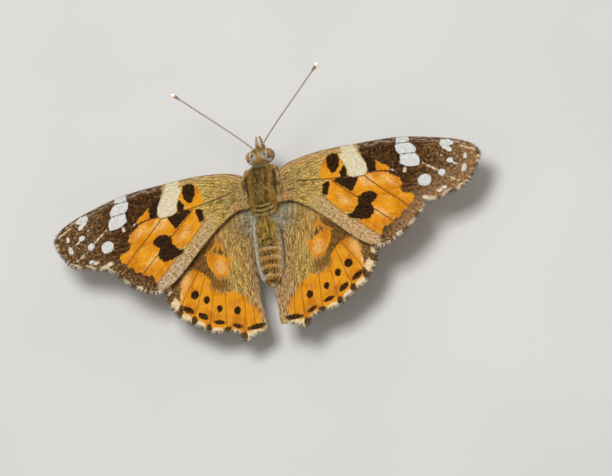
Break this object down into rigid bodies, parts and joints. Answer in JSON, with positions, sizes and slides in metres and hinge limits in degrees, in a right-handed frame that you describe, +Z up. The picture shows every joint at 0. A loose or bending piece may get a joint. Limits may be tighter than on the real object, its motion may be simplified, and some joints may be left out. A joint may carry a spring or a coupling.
{
  "type": "painted lady butterfly",
  "caption": "Life-size painted lady butterfly, standing with its patterned orange, black and white wings spread flat.",
  "frame": {"origin": "on the floor under the middle of the animal's outer box", "axes": "+Z up; the head faces -Y and the animal's left wings point to +X"},
  "size_m": [0.0638, 0.0376, 0.0112],
  "materials": {
    "forewing_scales": "matte scales, orange with black, brown and white markings",
    "hindwing_scales": "matte scales, orange and olive brown with dark spots",
    "thorax_hair": "soft golden olive hair",
    "abdomen_scales": "matte golden brown scales with pale rings",
    "head_hair": "short ochre hair",
    "palp_scales": "matte pale scales with brown edges",
    "eye": "glossy brown compound eye",
    "antenna": "matte grey brown with a pale tip",
    "leg_scales": "matte pale brown scales",
    "proboscis": "satin dark brown"
  },
  "bodies": {
    "root": {"head": "head_hair", "eye_left": "eye", "eye_right": "eye", "antenna_left": "antenna", "antenna_right": "antenna", "palp_left": "palp_scales", "palp_right": "palp_scales", "proboscis": "proboscis", "thorax": "thorax_hair", "abdomen": "abdomen_scales", "forewing_left": "forewing_scales", "forewing_right": "forewing_scales", "hindwing_left": "hindwing_scales", "hindwing_right": "hindwing_scales", "foreleg_left": "leg_scales", "foreleg_right": "leg_scales", "midleg_left": "leg_scales", "midleg_right": "leg_scales", "hindleg_left": "leg_scales", "hindleg_right": "leg_scales"}
  },
  "joints": []
}
